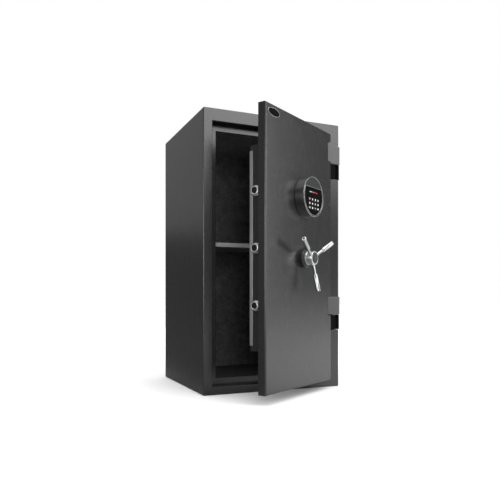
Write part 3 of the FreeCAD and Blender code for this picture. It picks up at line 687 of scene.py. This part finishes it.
def handleArm(which):
    node = "handle_arm_" + which
    back, hubRadius, depth = discNode("handle_hub")
    corners = {tuple(round(part, 6) for part in point) for point in pointsOf(node)}
    points = [Vector(corner) for corner in sorted(corners)]
    root, tip = armAxis(points, Vector((back.x, back.y - depth / 2, back.z)))
    along = (tip - root).normalized()
    rows = radiiAlong(points, root, along)
    length, grip = rows[-1]
    neck = rows[0][1]
    start = next(step for step, radius in rows if radius > (neck + grip) / 2)  # where the grip begins
    corner, dish = handleLook["gripRound"] * mm, handleLook["gripDish"] * mm
    sunk = length - handleLook["gripSink"] * mm
    outline = [(0, 0), (0, neck), (start - 2.2 * mm, neck), (start - 1.2 * mm, neck + 0.35 * mm),
               (start - 0.5 * mm, neck + 1.0 * mm)]
    outline += [(start + corner - corner * math.cos(turn), grip - corner + corner * math.sin(turn))
                for turn in quarterTurn(5)]
    outline += [(length - corner + corner * math.sin(turn), grip - corner + corner * math.cos(turn))
                for turn in quarterTurn(5)]
    outline += [(length, dish + 0.3 * mm), (length - 0.3 * mm, dish), (sunk, dish * 0.9), (sunk, 0)]
    place = doorPlace @ onAxis(root, along)
    bm = lathe(outline, False, 64)
    for face in bm.faces:
        spot = face.calc_center_median()
        # the dished tip takes the painted dark reflection
        face.material_index = int(spot.x > length - 2 * dish and spot.yz.length < dish * 0.99)
    arm = addPiece(bm, "handleArm" + which.title(), "handle", finishes["bright_chrome"],
                   place, [node], 25)
    arm.data.materials.append(darkReflectionDish)
    boss = handleLook["bossRadius"] * mm
    offset, slope = (root - back).cross(outward).length, along.cross(outward).length
    hubSide = (hubRadius - offset) / slope  # where the arm comes out of the hub
    bossFoot, bossEnd = hubSide - handleLook["bossRoot"] * mm, hubSide + handleLook["bossLength"] * mm
    ring = [(bossFoot, neck), (bossFoot, boss), (bossEnd - 0.6 * mm, boss),
            (bossEnd - 0.1 * mm, boss - 0.5 * mm), (bossEnd, neck + 0.3 * mm), (bossEnd, neck)]
    addPiece(lathe(ring, True, 48), "armCollar" + which.title(), "handle",
             finishes["bright_chrome"], place, (), 25)


handleRose()
handleHub()
for which in ("down", "right", "left"):
    handleArm(which)
print("handle made")


keypadLook = {"trimWidth": 0.75, "trimProud": 0.35, "trimSink": 0.4, "trimRound": 0.15, "bezelInset": 0.4,
              "baseRound": 0.9, "baseBore": 0.2, "capRound": 0.3, "markSize": 5.8, "markThick": 0.14,
              "markBold": 0.24, "lightInset": 0.22, "lightRound": 0.25,
              "marks": ("1", "2", "3", "4", "5", "6", "7", "8", "9", "0", "*", "#")}


def housingFront():
    back, radius, depth = discNode("keypad_housing")
    return Vector((back.x, back.y - depth, back.z)), radius


def keypadBase():
    back, radius, depth = discNode("keypad_base")
    curve, bore = keypadLook["baseRound"] * mm, radius * keypadLook["baseBore"]
    outline = [(0, bore), (0, radius), (depth - curve, radius), (depth - 0.3 * curve, radius - 0.3 * curve),
               (depth, radius - curve), (depth, bore)]
    addPiece(lathe(outline, True), "keypadBase", "door", finishes["black_moulding"],
             doorPlace @ onAxis(back, outward), ["keypad_base"])


def bezelRing():
    front, radius = housingFront()
    width, proud = keypadLook["trimWidth"] * mm, keypadLook["trimProud"] * mm
    outer = radius - keypadLook["bezelInset"] * mm
    foot = -0.2 * mm
    outline = [(foot, outer), (proud * 0.5, outer), (proud, outer - 0.3 * width),
               (proud, outer - 0.7 * width), (proud * 0.5, outer - width), (foot, outer - width)]
    addPiece(lathe(outline, True, 128), "bezelRing", "door", trimChrome,
             doorPlace @ onAxis(front, outward), (), 50)


def lensTrim():  # a bright line round the lens: a circle with its top cut straight
    front = housingFront()[0]
    low, high = spanOf("keypad_lens")
    width, proud, sink = (keypadLook[key] * mm for key in ("trimWidth", "trimProud", "trimSink"))
    outer = front.z - low.z + 0.5 * width
    chord = high.z - front.z + 0.5 * width
    bm = bmesh.new()
    bmesh.ops.create_circle(bm, cap_ends=True, segments=128, radius=outer)
    bmesh.ops.bisect_plane(bm, geom=bm.verts[:] + bm.edges[:] + bm.faces[:], plane_co=(0, chord, 0),
                           plane_no=(0, 1, 0), clear_outer=True)
    ringBetween(bm, width)
    bmesh.ops.solidify(bm, geom=bm.faces[:], thickness=proud + sink)
    soften(bm, squareEdges(bm), keypadLook["trimRound"] * mm)
    bottom = min(vert.co.z for vert in bm.verts)
    bmesh.ops.translate(bm, vec=(0, 0, -sink - bottom), verts=bm.verts)
    addPiece(bm, "lensTrim", "door", trimChrome,
             doorPlace @ Matrix.Translation(front) @ facingOut, (), 50)


def keyMark(number, text):
    node = "key_%02d" % number
    low, high = spanOf(node)
    curve = bpy.data.curves.new("markText", "FONT")
    curve.body = text
    curve.size = keypadLook["markSize"] * mm
    curve.extrude = keypadLook["markThick"] * mm / 2
    curve.offset = keypadLook["markBold"] * mm
    curve.resolution_u = 4
    written = bpy.data.objects.new("markText", curve)
    mesh = bpy.data.meshes.new_from_object(written)
    bpy.data.objects.remove(written)
    bpy.data.curves.remove(curve)
    bm = bmesh.new()
    bm.from_mesh(mesh)
    bpy.data.meshes.remove(mesh)
    bmesh.ops.translate(bm, vec=-middleOf(extent([vert.co for vert in bm.verts])), verts=bm.verts)
    spot = Vector(((low.x + high.x) / 2, low.y, (low.z + high.z) / 2))
    addPiece(bm, "keyMark%02d" % number, node + "_cap", glowingWhiteMark,
             doorPlace @ Matrix.Translation(spot) @ facingOut, (), 40)


def statusLights():
    low, high = spanOf("status_lights")
    inset = (high.z - low.z) * keypadLook["lightInset"]
    ends = sorted({round(point.x, 5) for point in pointsOf("status_lights")})
    windows = (("whiteLight", ends[0], ends[1], finishes["status_window"]),
               ("redLight", ends[2], ends[3], redWindow))
    for name, left, right, look in windows:
        corner = Vector((left, low.y, low.z + inset))
        size = Vector((right, high.y, high.z - inset)) - corner
        bm = bmesh.new()
        bmesh.ops.create_cube(bm, size=1)
        bmesh.ops.scale(bm, vec=size, verts=bm.verts)
        bmesh.ops.translate(bm, vec=corner + size / 2, verts=bm.verts)
        soften(bm, bm.edges[:], keypadLook["lightRound"] * mm)
        addPiece(bm, name, "door", look, doorPlace, ["status_lights"])


# painted shade: the housing's front keeps the darker metal, its sides the paler copy
paintSides(sheets["keypad_housing"], doorPlace.to_3x3() @ outward, housingSide)
keypadBase()
bezelRing()
lensTrim()
for number, text in enumerate(keypadLook["marks"], 1):
    refined("key_%02d" % number, "keyCap%02d" % number, keypadLook["capRound"] * mm)
    keyMark(number, text)
statusLights()
print("keypad made")


badgeLook = {"rimWidth": 0.9, "rimFill": 1.3, "plateShrink": 1.2, "plateDepth": 0.8, "round": 0.3,
             "steps": 96}


def badgeLayer(name, hollow, shrink, depth, look, stands):
    low, high = spanOf("door_badge")
    centre, half = (low + high) / 2, (high - low) / 2
    top = 2 * half.y * depth
    bm = bmesh.new()
    bmesh.ops.create_circle(bm, cap_ends=True, segments=badgeLook["steps"], radius=1)
    bmesh.ops.scale(bm, vec=(half.x - shrink, half.z - shrink, 1), verts=bm.verts)
    if hollow:
        ringBetween(bm, badgeLook["rimWidth"] * mm * badgeLook["rimFill"])
    raised = bmesh.ops.extrude_face_region(bm, geom=bm.faces[:])
    lifted = [item for item in raised["geom"] if isinstance(item, bmesh.types.BMVert)]
    bmesh.ops.translate(bm, vec=(0, 0, top), verts=lifted)
    upper = [edge for edge in squareEdges(bm) if min(vert.co.z for vert in edge.verts) > top * 0.5]
    soften(bm, upper, badgeLook["round"] * mm, 3)
    place = Matrix.Translation((centre.x, high.y, centre.z)) @ facingOut
    addPiece(bm, name, "door", look, doorPlace @ place, stands, 50)


def doorBadge():  # a blank oval with a thin rim
    shrink = badgeLook["rimWidth"] * mm * badgeLook["plateShrink"]
    badgeLayer("badgePlate", False, shrink, badgeLook["plateDepth"], finishes["badge_plate"], ["door_badge"])
    badgeLayer("badgeRim", True, 0.0, 1.0, darkTrim, ())


screwLook = {"across": 8.0, "head": 3.0, "washer": 5.4, "washerThick": 0.8, "washerCut": 0.5,
             "inset": 38.0, "fromEnd": 9.0, "round": 0.25}


def coverScrew(x, y, z):
    radius, thick, cut = (screwLook[key] * mm for key in ("washer", "washerThick", "washerCut"))
    washer = lathe([(0, 0), (0, radius), (0.5 * thick, radius), (thick, radius - cut), (thick, 0)], False, 40)
    bmesh.ops.transform(washer, matrix=onAxis(Vector((x, y, z)), -outward), verts=washer.verts)
    corner, height = screwLook["across"] * mm / math.sqrt(3), screwLook["head"] * mm
    head = bmesh.new()
    bmesh.ops.create_cone(head, cap_ends=True, segments=6, radius1=corner, radius2=corner, depth=height)
    soften(head, head.edges[:], screwLook["round"] * mm)
    place = Matrix.Translation((x, y + thick * 0.8 + height / 2, z)) @ facingOut
    bmesh.ops.transform(head, matrix=place, verts=head.verts)
    return merge(washer, head)


def coverScrews():
    low, high = spanOf("boltwork_cover")
    inset, fromEnd = screwLook["inset"] * mm, screwLook["fromEnd"] * mm
    whole = bmesh.new()
    for x in (low.x + inset, high.x - inset):
        for z in (low.z + fromEnd, high.z - fromEnd):
            merge(whole, coverScrew(x, high.y, z))
    addPiece(whole, "coverScrews", "door", finishes["zinc_plate"], doorPlace, (), 30)


pinLook = {"ends": ((0.0, 0.7), (0.3, 0.2), (0.8, 0.0)), "steps": 48}  # ends: along, off the radius


def hingePins():
    low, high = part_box("hinge_pins")
    radius = (high.x - low.x) / 2
    centre = (low + high) / 2
    heights = sorted(vert.co.z for vert in nodes["hinge_pins"].data.vertices)
    middle = (heights[0] + heights[-1]) / 2
    lower, upper = ([z for z in heights if z < middle], [z for z in heights if z > middle])
    whole = bmesh.new()
    for bottom, top in ((lower[0], lower[-1]), (upper[0], upper[-1])):
        outline = [(0, 0)] + [(along * mm, radius - off * mm) for along, off in pinLook["ends"]]
        outline += [(top - bottom, radius), (top - bottom, 0)]
        pin = lathe(outline, False, pinLook["steps"])
        place = onAxis(Vector((centre.x, centre.y, bottom)), Vector((0, 0, 1)))
        bmesh.ops.transform(pin, matrix=place, verts=pin.verts)
        merge(whole, pin)
    addPiece(whole, "hingePins", "cabinet", finishes["hinge_steel"], stayPut, ["hinge_pins"])


doorBadge()
coverScrews()
hingePins()
print("badge, screws and pins made")


# the floor and the sky look white, but light the object less than white ones would
stageLook = {"floorSize": 30.0, "floorSeen": 0.95, "floorRough": 0.7, "floorCloud": 1.5, "floorGloss": 0.2,
             "bounceDark": 0.06, "bouncePale": 0.75, "bounceReach": 0.9, "worldSeen": 1.0, "worldLow": 0.09,
             "worldHigh": 0.6}


def pieceOfFloor():
    look = stageLook
    bm = bmesh.new()
    bmesh.ops.create_grid(bm, x_segments=1, y_segments=1, size=look["floorSize"] / 2)
    mesh = bpy.data.meshes.new("floor")
    bm.to_mesh(mesh)
    bm.free()
    floor = bpy.data.objects.new("floor", mesh)
    scene.collection.objects.link(floor)
    finish = Finish("paleFloor", {"Specular IOR Level": look["floorGloss"]})
    cloud = finish.noise(look["floorCloud"], 3.0)
    seen = finish.node("ShaderNodeLightPath", output="Is Camera Ray")
    across = finish.node("ShaderNodeSeparateXYZ", {}, {0: finish.spot}) * (0.5 / look["bounceReach"]) + 0.5
    bounce = finish.mix(finish.ramp(across, 0.3, 0.6), grey(look["bounceDark"]), grey(look["bouncePale"]))
    white = finish.mix(cloud, grey(look["floorSeen"] * 0.99), grey(look["floorSeen"]))
    mesh.materials.append(finish.show(finish.mix(seen, bounce, white), look["floorRough"] + 0.05 * cloud))


def worldLight():  # brighter overhead than at the horizon
    look = stageLook
    scene.world = bpy.data.worlds.new("studio")
    wiring = Wiring(scene.world)
    seen = wiring.node("ShaderNodeLightPath", output="Is Camera Ray")
    spot = wiring.node("ShaderNodeTexCoord", output="Generated")
    height = wiring.node("ShaderNodeSeparateXYZ", {}, {0: spot}, "Z")
    rise = height.maths("MAXIMUM", height, 0.0)
    fill = look["worldLow"] + rise ** 2 * (look["worldHigh"] - look["worldLow"])
    strength = seen * look["worldSeen"] + (1 - seen) * fill
    sky = wiring.node("ShaderNodeBackground", {}, {"Color": grey(1.0), "Strength": strength})
    wiring.node("ShaderNodeOutputWorld", {}, {"Surface": sky})


lights = {  # place, aim, size in metres, watts
    "frontPanel": ((1.15, -2.7, 1.9), (0.0, -0.2, 0.5), (2.0, 1.4), 30.0),
    "doorPanel": ((2.4, -1.2, 0.95), (0.1, -0.3, 0.45), (0.9, 1.5), 14.5),
    "cameraPanel": ((-0.9, -3.3, 0.8), (0.0, -0.2, 0.5), (0.9, 1.3), 22.0),
    "leftPanel": ((-2.3, -1.35, 0.65), (0.1, -0.3, 0.5), (0.8, 0.9), 12.0),
    "backPanel": ((-1.4, 2.7, 1.5), (-0.2, 0.1, 0.5), (1.6, 1.4), 1.6),
    "rearPanel": ((1.0, 3.0, 1.3), (0.0, 0.2, 0.4), (1.6, 1.4), 14.0),
}


def areaLight(name, spot, target, size, power):
    data = bpy.data.lights.new(name, "AREA")
    data.shape = "RECTANGLE"
    data.size, data.size_y = size
    data.energy = power
    light = bpy.data.objects.new(name, data)
    light.location = spot
    light.rotation_euler = (Vector(target) - Vector(spot)).to_track_quat("-Z", "Y").to_euler()
    scene.collection.objects.link(light)


sunLook = {"power": 2.9, "spread": 75.0, "lean": 12.0}


def softSun():
    data = bpy.data.lights.new("softSun", "SUN")
    data.energy = sunLook["power"]
    data.angle = math.radians(sunLook["spread"])
    sun = bpy.data.objects.new("softSun", data)
    sun.rotation_euler = (math.radians(sunLook["lean"]), 0, 0)
    scene.collection.objects.link(sun)


cameraLook = {"spot": (-0.7305, -1.7009, 0.2809), "turn": 23.52, "lens": 40.02, "sensor": 36.0,
              "shift": 0.0936}


def studioCamera():
    data = bpy.data.cameras.new("camera")
    data.lens = cameraLook["lens"]
    data.sensor_width = cameraLook["sensor"]
    data.shift_y = cameraLook["shift"]
    camera = bpy.data.objects.new("camera", data)
    camera.location = cameraLook["spot"]
    camera.rotation_euler = (math.radians(90), 0, -math.radians(cameraLook["turn"]))
    scene.collection.objects.link(camera)
    scene.camera = camera


pieceOfFloor()
worldLight()
for name, (spot, target, size, power) in lights.items():
    areaLight(name, spot, target, size, power)
softSun()
studioCamera()
scene.view_settings.view_transform = "Standard"
print("studio ready")
